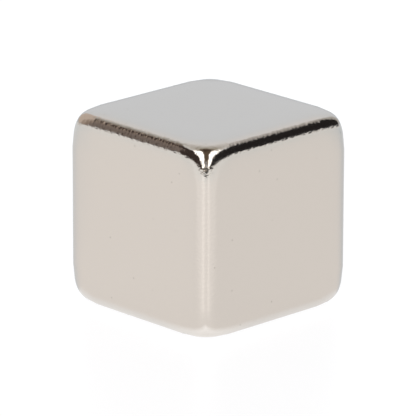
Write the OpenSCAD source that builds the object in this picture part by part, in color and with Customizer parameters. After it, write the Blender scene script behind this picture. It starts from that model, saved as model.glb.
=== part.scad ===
/* [Block] */
// Length along X, over the flat faces
block_l = 10; // [8:0.5:30]
// Width along Y, over the flat faces
block_w = 10; // [8:0.5:30]
// Height along Z, from pole face to pole face
block_h = 10; // [8:0.5:30]

/* [Tumbled wear] */
// How far in from each sharp edge the wear reaches
wear_reach = 2; // [1:0.1:3]
// Form of a worn edge: 2 is a plain round, and more keeps its middle tight and its shoulders soft
wear_power = 6; // [3:0.5:8]
// How much rounder a corner is worn than the edges that meet there
corner_wear = 1.55; // [0:0.05:3]

/* [Smoothness] */
// Facets from the flat face to the middle of a worn edge
half_edge_facets = 8; // [4:1:12]

/* [Hidden] */

// Each rib of a corner runs to a point this far inside the block, so that it is a closed solid
rib_depth = 0.5;

// Slopes of the worn surface from one flat face to the next, closer where it starts to turn
ease_in = [for (step = [0:half_edge_facets]) 45 * pow(step / half_edge_facets, 1.5)];
slopes = concat(ease_in, [for (step = [1:half_edge_facets]) 90 - ease_in[half_edge_facets - step]]);

// Angle, from where the wear begins, at which a section of the worn surface has a slope. The
// sharp edge of that section lies at the angle whose tangent is edge_tan.
function angle_of(slope, edge_tan = 1) = atan(edge_tan * pow(tan(slope), 1 / (wear_power - 1)));

// Distance of the worn surface from where the wear begins. Each axis wears by the same power, and
// the last term takes off the corner alone.
function surface_distance(way) =
  wear_reach / pow(
    pow(way.x, wear_power) + pow(way.y, wear_power) + pow(way.z, wear_power)
      + corner_wear * pow(way.x * way.y * way.z, wear_power / 3),
    1 / wear_power
  );

// Upright section through one worn corner at a bearing, with its zero where the wear begins
module corner_rib(bearing) {
  edge_tan = max(cos(bearing), sin(bearing));
  outline = [
    for (slope = slopes)
      let (
        rise = angle_of(slope, edge_tan),
        way = [cos(rise) * cos(bearing), cos(rise) * sin(bearing), sin(rise)]
      )
        surface_distance(way) * [cos(rise), sin(rise)]
  ];
  rotate([90, 0, bearing])
    linear_extrude(rib_depth, scale = 0) polygon(concat([[0, 0]], outline));
}

// Sintered block, drawn tight over the ribs of its eight worn corners and standing on one pole face
module cube_magnet() {
  color([0.84, 0.81, 0.77])
    translate([0, 0, block_h / 2])
      hull()
        for (x = [0, 1], y = [0, 1], z = [0, 1])
          mirror([x, 0, 0]) mirror([0, y, 0]) mirror([0, 0, z])
            translate([block_l, block_w, block_h] / 2 - wear_reach * [1, 1, 1])
              for (slope = slopes) corner_rib(angle_of(slope));
}

cube_magnet();
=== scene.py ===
import math

import bmesh
import bpy
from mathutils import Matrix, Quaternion, Vector

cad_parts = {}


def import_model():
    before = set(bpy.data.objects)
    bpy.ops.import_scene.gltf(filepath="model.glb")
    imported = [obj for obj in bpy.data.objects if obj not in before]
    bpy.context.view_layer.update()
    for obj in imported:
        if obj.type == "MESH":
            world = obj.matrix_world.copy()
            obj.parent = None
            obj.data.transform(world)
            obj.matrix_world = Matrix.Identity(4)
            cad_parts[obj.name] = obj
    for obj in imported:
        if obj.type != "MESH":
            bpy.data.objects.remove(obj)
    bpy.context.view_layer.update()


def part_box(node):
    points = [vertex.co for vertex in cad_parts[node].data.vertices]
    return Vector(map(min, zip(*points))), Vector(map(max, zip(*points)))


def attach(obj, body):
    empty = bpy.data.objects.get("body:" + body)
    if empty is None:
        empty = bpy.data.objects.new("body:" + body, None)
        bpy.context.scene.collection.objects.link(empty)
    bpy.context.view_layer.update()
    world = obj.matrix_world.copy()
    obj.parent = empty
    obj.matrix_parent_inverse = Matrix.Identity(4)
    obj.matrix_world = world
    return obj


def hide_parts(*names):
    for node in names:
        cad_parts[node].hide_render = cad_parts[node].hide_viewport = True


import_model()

# The script's own unit is the metre, as in the frame; small sizes are written in millimetres.
MM = 0.001
block_low, block_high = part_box("cube_magnet")
SIDE = block_high.x - block_low.x
CENTRE = (block_low + block_high) / 2

# Camera: bearing is 0 at the front (-Y) and 90 at the right (+X)
CAMERA_BEARING = 46.0
CAMERA_HEIGHT = 17.5
CAMERA_ROLL = 0.175
CAMERA_DISTANCE = 23.3 * SIDE
LENS = 404.0
SENSOR = 36.0
AIM_RIGHT = -0.008 * MM
AIM_UP = -0.109 * MM

# Tumbled wear: how far in from each sharp edge it reaches, and its form. At power 2 an edge is a plain
# round. A higher power keeps the middle of the edge tight and lets it fade slowly into the flat faces.
WEAR_REACH = 2.0 * MM
WEAR_POWER = 6
CORNER_WEAR = 1.55
# Cells of the block's grid from where the wear begins to the sharp edge, and across the flat
EDGE_CELLS = 26
FLAT_CELLS = 8

# Nickel. The real grain is a few hundredths of a millimetre, drawn coarser so that it shows. It is at full
# strength near an edge and fades out further in, both as distances from the flat faces that meet there.
NICKEL = "D5CDC5"
DULL_SPECK = "C3BBB2"
GRAIN_PITCH = 0.18 * MM
GRAIN_DEPTH = 0.0125 * MM
GRAIN_FULL = 0.45 * MM
GRAIN_FADED = 0.95 * MM
HAZE_PITCH = 1.5 * MM
SPECK_PITCH = 0.9 * MM

# White sheet under the block: its level in mirrors, and the painted glow by which mirrors see it brighter
# at the block's foot
SHEET_LEVEL = 0.88
PAINTED_FOOT_GLOW = 0.14


def linear(code):
    """An sRGB hex colour as linear red, green, blue and alpha."""
    parts = [int(code[i : i + 2], 16) / 255 for i in (0, 2, 4)]
    return [c / 12.92 if c <= 0.04045 else ((c + 0.055) / 1.055) ** 2.4 for c in parts] + [1.0]


def add(tree, kind, inputs=None, **settings):
    """Adds a node. Settings are its own properties, and inputs are values or the sockets to link, by name
    or number. A colour Mix has its two colours at 6 and 7, and its result at 2."""
    node = tree.nodes.new(kind)
    for name, value in settings.items():
        setattr(node, name, value)
    for name, value in (inputs or {}).items():
        if isinstance(value, bpy.types.NodeSocket):
            tree.links.new(value, node.inputs[name])
        else:
            node.inputs[name].default_value = value
    return node


def new_material(name):
    """An empty material and its node tree."""
    material = bpy.data.materials.new(name)
    material.use_nodes = True
    material.node_tree.nodes.clear()
    return material, material.node_tree


def new_object(name, shape, material):
    """Turns a bmesh into an object with one material."""
    mesh = bpy.data.meshes.new(name)
    shape.to_mesh(mesh)
    shape.free()
    mesh.materials.append(material)
    piece = bpy.data.objects.new(name, mesh)
    bpy.context.scene.collection.objects.link(piece)
    return piece


def heading(bearing, height):
    """Unit vector from the block towards a bearing, counted from the front, and a height in degrees."""
    b, h = math.radians(bearing), math.radians(height)
    return Vector((math.sin(b) * math.cos(h), -math.cos(b) * math.cos(h), math.sin(h)))


# ---------------------------------------------------------------- the magnet


def grid_line(share):
    """Where a grid line of the block goes, as a distance from its middle: share is 0 to 1. Lines stand
    at equal steps of the surface's slope, so the tight middle of an edge gets as many as its flanks."""
    cells = share * (EDGE_CELLS + FLAT_CELLS / 2)
    flat = SIDE / 2 - WEAR_REACH
    if cells <= FLAT_CELLS / 2:
        return flat * cells / (FLAT_CELLS / 2)
    slope = math.radians(45) * (cells - FLAT_CELLS / 2) / EDGE_CELLS
    return flat + WEAR_REACH * math.tan(slope) ** (1 / (WEAR_POWER - 1))


def wear(point):
    """The worn surface's point and outward direction for a point of the sharp block's surface. As in the
    CAD model, each axis wears by the same power, and one more term takes off the corner alone."""
    flat = SIDE / 2 - WEAR_REACH
    third = WEAR_POWER / 3
    sign = Vector([math.copysign(1, c) for c in point])
    x, y, z = [max(abs(c) - flat, 0) / WEAR_REACH for c in point]
    total = x**WEAR_POWER + y**WEAR_POWER + z**WEAR_POWER + CORNER_WEAR * (x * y * z) ** third
    size = total ** (1 / WEAR_POWER)
    beyond = Vector((x, y, z)) * WEAR_REACH / size
    inner = Vector([min(abs(c), flat) for c in point])
    steep = Vector(
        [
            WEAR_POWER * a ** (WEAR_POWER - 1) + third * CORNER_WEAR * a ** (third - 1) * (b * c) ** third
            for a, b, c in ((x, y, z), (y, z, x), (z, x, y))
        ]
    )
    return (inner + beyond) * sign, (steep * sign).normalized()


def worn_block():
    """The block, bent from the grid of a sharp cube. Its exact normals keep facets out of the mirror."""
    shape = bmesh.new()
    bmesh.ops.create_cube(shape, size=SIDE)
    bmesh.ops.subdivide_edges(
        shape, edges=shape.edges[:], cuts=2 * EDGE_CELLS + FLAT_CELLS - 1, use_grid_fill=True
    )
    normals = []
    for vert in shape.verts:
        spread = [math.copysign(grid_line(abs(c) * 2 / SIDE), c) for c in vert.co]
        place, direction = wear(Vector(spread))
        vert.co = place + CENTRE
        normals.append(direction)
    for face in shape.faces:
        face.smooth = True
    piece = new_object("plated_block", shape, nickel())
    piece.data.normals_split_custom_set_from_vertices(normals)
    return piece


def worn_share(tree, place):
    """1 near the block's edges, and 0.15 on its flat faces. An edge is where two of the three distances
    from the middle are large, so the middle one of the three tells."""
    size = add(tree, "ShaderNodeVectorMath", {0: place}, operation="ABSOLUTE").outputs[0]
    x, y, z = add(tree, "ShaderNodeSeparateXYZ", {0: size}).outputs
    low = add(tree, "ShaderNodeMath", {0: x, 1: y}, operation="MINIMUM").outputs[0]
    high = add(tree, "ShaderNodeMath", {0: x, 1: y}, operation="MAXIMUM").outputs[0]
    third = add(tree, "ShaderNodeMath", {0: high, 1: z}, operation="MINIMUM").outputs[0]
    middle = add(tree, "ShaderNodeMath", {0: low, 1: third}, operation="MAXIMUM").outputs[0]
    return add(
        tree,
        "ShaderNodeMapRange",
        {
            "Value": middle,
            "From Min": SIDE / 2 - GRAIN_FADED,
            "From Max": SIDE / 2 - GRAIN_FULL,
            "To Min": 0.15,
            "To Max": 1.0,
        },
        interpolation_type="SMOOTHSTEP",
    ).outputs[0]


def nickel():
    """Bright electroplated nickel over a tumbled sintered block: a warm white mirror with a fine grain
    that follows the block underneath, stronger where tumbling has worn it, and a few dull specks."""
    material, tree = new_material("electroplated_nickel")
    place = add(tree, "ShaderNodeTexCoord").outputs["Object"]
    place = add(tree, "ShaderNodeMapping", {"Vector": place, "Location": -CENTRE}).outputs[0]

    # The grain breaks up what the edges mirror into a fine speckle
    grain = add(
        tree, "ShaderNodeTexNoise", {"Vector": place, "Scale": 1 / GRAIN_PITCH, "Detail": 1.0}
    ).outputs["Fac"]
    grain = add(tree, "ShaderNodeMath", {0: grain, 1: 0.5}, operation="SUBTRACT").outputs[0]
    grain = add(
        tree, "ShaderNodeMath", {0: grain, 1: worn_share(tree, place)}, operation="MULTIPLY"
    ).outputs[0]
    bump = add(
        tree, "ShaderNodeBump", {"Height": grain, "Strength": 1.0, "Distance": GRAIN_DEPTH}
    ).outputs[0]

    # A faint haze softens the mirror a little more in some places than in others
    haze = add(
        tree, "ShaderNodeTexNoise", {"Vector": place, "Scale": 1 / HAZE_PITCH, "Detail": 3.0}
    ).outputs["Fac"]
    roughness = add(
        tree, "ShaderNodeMapRange", {"Value": haze, "To Min": 0.10, "To Max": 0.15}
    ).outputs[0]

    # Specks are balls up to 0.12 mm across, spread through the solid, so only a few meet the surface
    speck = add(
        tree, "ShaderNodeTexVoronoi", {"Vector": place, "Scale": 1 / SPECK_PITCH}
    ).outputs["Distance"]
    speck = add(
        tree,
        "ShaderNodeMapRange",
        {"Value": speck, "From Min": 0.03, "From Max": 0.07, "To Min": 1.0, "To Max": 0.0},
    ).outputs[0]
    colour = add(
        tree,
        "ShaderNodeMix",
        {"Factor": speck, 6: linear(NICKEL), 7: linear(DULL_SPECK)},
        data_type="RGBA",
    ).outputs[2]
    shader = add(
        tree,
        "ShaderNodeBsdfPrincipled",
        {"Base Color": colour, "Metallic": 1.0, "Roughness": roughness, "Normal": bump},
    )
    add(tree, "ShaderNodeOutputMaterial", {"Surface": shader.outputs[0]})
    return material


# ---------------------------------------------------------------- floor and light tent, with painted light and shade for the mirror

TENT_RADIUS = 0.5
# Heights of the tent's parts are counted from the block's upper edge
EYE_LEVEL = Vector((0, 0, block_high.z))
# The camera looks in through a gap between two lit walls. Bearings of the tent's parts are counted
# from that gap, positive to the camera's right. A gap's half width is a share of the tent's radius.
GAP_LEFT = 0.24
GAP_RIGHT = 0.28
# The lower edge of a lit wall is straight: it leaves the floor at this bearing and climbs this steeply
EDGE_BEARING = 27.0
EDGE_RISE = 56.0
WALL_FOOT = 8.0
LIT_WALL = "FFFEFC"
LIT_STRENGTH = 2.2


def card_foot(bearing):
    """Height in degrees of a card's lower edge, on the floor's sweep, which rises towards the back."""
    return 1.8 + 0.03 * (bearing - 60)


def lit_wall_foot(bearing):
    """Height in degrees of a lit wall's lower edge."""
    rise = math.sin(math.radians(max(bearing - EDGE_BEARING, 0)))
    return max(WALL_FOOT, math.degrees(math.atan(math.tan(math.radians(EDGE_RISE)) * rise)))


def left_wall_top(bearing):
    """Height in degrees at which the left wall ends at the gap, which runs on over the block."""
    return math.degrees(math.acos(min(GAP_LEFT / math.sin(math.radians(bearing)), 1.0)))


def right_wall_top(bearing):
    """The same for the right wall."""
    return math.degrees(math.acos(min(GAP_RIGHT / math.sin(math.radians(bearing)), 1.0)))


def glow(name, code, strength):
    """What stands in the tent shows only in the mirror of the block, so a plain glow is all it needs."""
    material, tree = new_material(name)
    shader = add(tree, "ShaderNodeEmission", {"Color": linear(code), "Strength": strength})
    add(tree, "ShaderNodeOutputMaterial", {"Surface": shader.outputs[0]})
    return material


def hide_from_camera(part):
    """Staging that only the block's mirror sees."""
    part.visible_camera = False


def panel(name, bearings, foot, top, share, code, strength=1.0):
    """A part of the tent's wall, glowing in a painted colour that only the block's mirror sees: between
    two bearings, and from foot to top, which are heights in degrees or functions of the bearing. With a
    smaller share of the tent's radius it stands further in front."""
    start, end = bearings
    shape = bmesh.new()
    bmesh.ops.create_grid(shape, x_segments=40, y_segments=30, size=1)
    for vert in shape.verts:
        bearing = start + (end - start) * (vert.co.x + 1) / 2
        low, high = [e(abs(bearing)) if callable(e) else e for e in (foot, top)]
        height = low + (high - low) * (vert.co.y + 1) / 2
        vert.co = heading(CAMERA_BEARING + bearing, height) * share * TENT_RADIUS + EYE_LEVEL
    hide_from_camera(new_object(name, shape, glow(name, code, strength)))


def painted_dome_glow():
    """Painted light and shade on the tent's dome, which only the block's mirror sees: a glow that is pale
    up to about 50 degrees and dims through grey to dark brown towards its top.
    """
    material, tree = new_material("tent_painted_glow")
    place = add(tree, "ShaderNodeTexCoord").outputs["Object"]
    out = add(tree, "ShaderNodeVectorMath", {0: place}, operation="NORMALIZE").outputs[0]
    up = add(tree, "ShaderNodeSeparateXYZ", {0: out}).outputs[2]
    ramp = add(tree, "ShaderNodeValToRGB", {"Fac": up})
    # Heights in degrees and the colours there
    stops = (
        (0, "C5C8CB"),
        (14, "E2E8EF"),
        (24, "E4EAF0"),
        (44, "F1F3F6"),
        (50, "E7E8E8"),
        (64, "C4C2BC"),
        (70, "AAA497"),
        (76, "6C6155"),
        (82, "4D3F35"),
    )
    elements = ramp.color_ramp.elements
    while len(elements) < len(stops):
        elements.new(1.0)
    for element, (height, code) in zip(elements, stops):
        element.position = math.sin(math.radians(height))
        element.color = linear(code)
    # The dome glows in its painted light and shade and lights nothing else
    shader = add(tree, "ShaderNodeEmission", {"Color": ramp.outputs[0], "Strength": 1.0})
    add(tree, "ShaderNodeOutputMaterial", {"Surface": shader.outputs[0]})
    return material


def tent():
    """A dome and panels that glow in painted colours, hidden from the camera: the block's edges mirror
    them as painted reflections of lit walls and of dark and brown cards.
    """
    shape = bmesh.new()
    bmesh.ops.create_uvsphere(shape, u_segments=64, v_segments=48, radius=TENT_RADIUS)
    bmesh.ops.bisect_plane(
        shape,
        geom=shape.verts[:] + shape.edges[:] + shape.faces[:],
        plane_co=(0, 0, 0),
        plane_no=(0, 0, -1),
        clear_outer=True,
    )
    hide_from_camera(new_object("tent", shape, painted_dome_glow()))

    # Each panel glows in a painted colour that only the block's mirror sees: the lit walls paint its
    # highlights, and the gap and the dark, brown and tan cards paint shade into its edges
    panel("lit_wall_left", (-14.3, -84), lit_wall_foot, left_wall_top, 0.90, LIT_WALL, LIT_STRENGTH)
    panel("lit_wall_right", (16.7, 84), lit_wall_foot, right_wall_top, 0.90, LIT_WALL, LIT_STRENGTH)
    panel("sweep", (-135, 135), -1.4, 1.4, 0.99, "EFEFED")
    panel("gap", (-60, 60), 1.4, 88, 0.98, "635546")
    panel("gap_lip", (-34, 34), 5, 10, 0.96, "B3ADA2")
    panel("gap_foot", (-22, 22), -1.1, 5, 0.955, "303030")
    # This pale card glows to paint light into the block's top, so that the top is not dark when it is seen
    # from behind
    panel("gap_card", (-7.5, 6.5), 11.5, 18.5, 0.95, "E2E8EE")
    panel("fringe_left", (-128, -138), card_foot, 50, 0.965, "AAA8A5")
    panel("fringe_end_left", (-136, -150), card_foot, 50, 0.97, "C5C5C2")
    panel("fringe_right", (104, 138), card_foot, 50, 0.965, "AEACA9")
    panel("fringe_end_right", (136, 149), card_foot, 50, 0.97, "BFBFBD")
    panel("dark_card_left", (-36, -130), card_foot, 48, 0.95, "3F3532")
    panel("soft_brown_card_left", (-115, -131), card_foot, 48, 0.945, "867C73")
    panel("brown_card_left", (-88, -99), card_foot, 31, 0.94, "827873")
    panel("warm_brown_card_left", (-99, -104), card_foot, 33, 0.938, "8E8179")
    panel("tan_card_left", (-104, -110), card_foot, 35, 0.935, "A4958A")
    panel("warm_tan_card_left", (-110, -118), card_foot, 37, 0.93, "BFB1A6")
    panel("light_tan_card_left", (-118, -158), card_foot, 40, 0.92, "D4C7BC")
    panel("black_card_right", (36, 130), card_foot, 44.2, 0.95, "262424")


def painted_light_for_mirrors(tree, place):
    """The sheet's colour in mirrors, with painted light and shade over it."""
    # Turned so that X runs to the camera's right and Y away from it
    turn = {"Vector": place, "Rotation": (0, 0, -math.radians(CAMERA_BEARING))}
    across, behind, _ = add(
        tree, "ShaderNodeSeparateXYZ", {0: add(tree, "ShaderNodeMapping", turn).outputs[0]}
    ).outputs
    out = add(tree, "ShaderNodeMath", {0: across}, operation="ABSOLUTE").outputs[0]
    reach = add(tree, "ShaderNodeVectorMath", {0: place}, operation="LENGTH").outputs["Value"]
    right = add(
        tree,
        "ShaderNodeMapRange",
        {"Value": across, "From Min": -4 * MM, "From Max": 4 * MM, "To Min": 0.0, "To Max": 1.0},
        interpolation_type="SMOOTHSTEP",
    ).outputs[0]

    # Painted shade: far from the block the sheet is cooler, and on the right dimmer as well
    far = add(
        tree, "ShaderNodeMapRange", {"Value": reach, "From Min": 30 * MM, "From Max": 80 * MM}
    ).outputs[0]
    drop = add(
        tree, "ShaderNodeMapRange", {"Value": far, "To Min": -0.03, "To Max": -0.055}
    ).outputs[0]
    level = add(
        tree, "ShaderNodeMath", {0: right, 1: drop, 2: SHEET_LEVEL}, operation="MULTIPLY_ADD"
    ).outputs[0]

    # Painted light: brighter straight in front, which the two sides of the near edge mirror as painted
    # highlights
    front = add(
        tree, "ShaderNodeMath", {0: out, 1: 0.2, 2: behind}, operation="MULTIPLY_ADD"
    ).outputs[0]
    front = add(
        tree,
        "ShaderNodeMapRange",
        {"Value": front, "From Min": -11 * MM, "From Max": -5.5 * MM, "To Min": 0.085, "To Max": 0.0},
        interpolation_type="SMOOTHSTEP",
    ).outputs[0]
    level = add(tree, "ShaderNodeMath", {0: level, 1: front}, operation="ADD").outputs[0]

    # Painted shade: straight ahead towards the camera it falls off into the gap between the lit walls
    ahead = add(
        tree, "ShaderNodeMath", {0: behind, 1: 0.3, 2: out}, operation="MULTIPLY_ADD"
    ).outputs[0]
    ahead = add(
        tree,
        "ShaderNodeMapRange",
        {"Value": ahead, "From Min": -52 * MM, "From Max": -26 * MM, "To Min": 0.05, "To Max": 1.0},
    ).outputs[0]
    level = add(tree, "ShaderNodeMath", {0: level, 1: ahead}, operation="MULTIPLY").outputs[0]

    # Painted glow: brighter and cooler at the block's foot, most of all at the near corner
    size = add(tree, "ShaderNodeVectorMath", {0: place}, operation="ABSOLUTE").outputs[0]
    sides = add(tree, "ShaderNodeSeparateXYZ", {0: size}).outputs
    foot = add(tree, "ShaderNodeMath", {0: sides[0], 1: sides[1]}, operation="MAXIMUM").outputs[0]
    under = add(
        tree,
        "ShaderNodeMapRange",
        {
            "Value": foot,
            "From Min": SIDE / 2 - 0.4 * MM,
            "From Max": SIDE / 2 + 0.1 * MM,
            "To Min": 0.11,
            "To Max": PAINTED_FOOT_GLOW,
        },
    ).outputs[0]
    foot = add(
        tree,
        "ShaderNodeMapRange",
        {
            "Value": foot,
            "From Min": SIDE / 2 + 0.1 * MM,
            "From Max": SIDE / 2 + 0.75 * MM,
            "To Min": under,
            "To Max": 0.0,
        },
    ).outputs[0]
    gain = add(
        tree,
        "ShaderNodeMapRange",
        {"Value": behind, "From Min": -7.5 * MM, "From Max": -4.5 * MM, "To Min": 2.9, "To Max": 1.0},
    ).outputs[0]
    level = add(
        tree, "ShaderNodeMath", {0: foot, 1: gain, 2: level}, operation="MULTIPLY_ADD"
    ).outputs[0]

    # Painted shadow of the block: behind it the sheet dims and cools with the bearing seen from the
    # block's outer edges
    aside = add(tree, "ShaderNodeMath", {0: out, 1: SIDE / 2 + 0.6 * MM}, operation="SUBTRACT").outputs[0]
    aside = add(tree, "ShaderNodeMath", {0: aside, 1: 0.5 * MM}, operation="MAXIMUM").outputs[0]
    bearing = add(tree, "ShaderNodeMath", {0: behind, 1: aside}, operation="DIVIDE").outputs[0]
    shade = add(
        tree, "ShaderNodeMapRange", {"Value": bearing, "From Min": 0.0, "From Max": 0.5}
    ).outputs[0]
    mirrored = add(
        tree,
        "ShaderNodeMix",
        {"Factor": shade, 6: linear("FFFFFF"), 7: linear("E5ECF3")},
        data_type="RGBA",
    ).outputs[2]
    # Painted shade: far from the block the mirrored sheet turns cooler
    cool = add(
        tree,
        "ShaderNodeMix",
        {"Factor": far, 6: linear("FFFFFF"), 7: linear("F8FDFF")},
        data_type="RGBA",
    ).outputs[2]
    mirrored = add(
        tree, "ShaderNodeVectorMath", {0: mirrored, 1: cool}, operation="MULTIPLY"
    ).outputs[0]
    # Painted glow: the mirrored sheet turns paler and cooler at the block's foot
    edge = add(tree, "ShaderNodeMapRange", {"Value": foot, "From Max": PAINTED_FOOT_GLOW}).outputs[0]
    mirrored = add(
        tree,
        "ShaderNodeMix",
        {"Factor": edge, 6: mirrored, 7: linear("F7FBFF")},
        data_type="RGBA",
    ).outputs[2]
    return add(
        tree, "ShaderNodeVectorMath", {0: mirrored, 1: level}, operation="MULTIPLY"
    ).outputs[0]


def floor():
    """White acrylic sheet, lit from below. It gives off most of its white, so that the background is white
    and the block's own soft shadow stays faint. Mirrors see a painted colour on it instead, with painted
    light and shade."""
    material, tree = new_material("white_sheet")
    rays = add(tree, "ShaderNodeLightPath").outputs
    place = add(tree, "ShaderNodeTexCoord").outputs["Object"]
    mirrored = painted_light_for_mirrors(tree, place)
    colour = add(
        tree,
        "ShaderNodeMix",
        {"Factor": rays["Is Glossy Ray"], 6: linear("F1F1F2"), 7: mirrored},
        data_type="RGBA",
    ).outputs[2]
    seen = add(
        tree,
        "ShaderNodeMath",
        {0: rays["Is Camera Ray"], 1: rays["Is Glossy Ray"]},
        operation="MAXIMUM",
    ).outputs[0]
    seen = add(
        tree, "ShaderNodeMath", {0: seen, 1: rays["Is Transmission Ray"]}, operation="MAXIMUM"
    ).outputs[0]
    shader = add(
        tree,
        "ShaderNodeBsdfPrincipled",
        {
            "Base Color": linear("6C6C6C"),
            "Roughness": 0.35,
            "Specular IOR Level": 0.1,
            "Emission Color": colour,
            "Emission Strength": seen,
        },
    )
    add(tree, "ShaderNodeOutputMaterial", {"Surface": shader.outputs[0]})
    shape = bmesh.new()
    bmesh.ops.create_circle(shape, cap_ends=True, segments=96, radius=3.0)
    new_object("floor", shape, material)


def world():
    """Even white light all round."""
    sky = bpy.data.worlds.new("studio")
    bpy.context.scene.world = sky
    sky.use_nodes = True
    sky.node_tree.nodes.clear()
    tree = sky.node_tree
    shader = add(tree, "ShaderNodeBackground", {"Color": linear("FFFFFF"), "Strength": 1.0})
    add(tree, "ShaderNodeOutputWorld", {"Surface": shader.outputs[0]})


def camera():
    data = bpy.data.cameras.new("camera")
    data.lens = LENS
    data.sensor_width = SENSOR
    data.clip_start = 0.01
    data.clip_end = 10.0
    eye = bpy.data.objects.new("camera", data)
    bpy.context.scene.collection.objects.link(eye)
    bpy.context.scene.camera = eye
    # The camera looks along the line to the block's middle, and the aim slides it across that line
    back = heading(CAMERA_BEARING, CAMERA_HEIGHT)
    turn = (-back).to_track_quat("-Z", "Y")
    turn = turn @ Quaternion((0, 0, 1), math.radians(CAMERA_ROLL))
    eye.rotation_mode = "QUATERNION"
    eye.rotation_quaternion = turn
    eye.location = CENTRE + back * CAMERA_DISTANCE + turn @ Vector((AIM_RIGHT, AIM_UP, 0))


camera()
world()
floor()
tent()
block = worn_block()
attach(block, "root")
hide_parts("cube_magnet")

bpy.context.scene.view_settings.view_transform = "Standard"
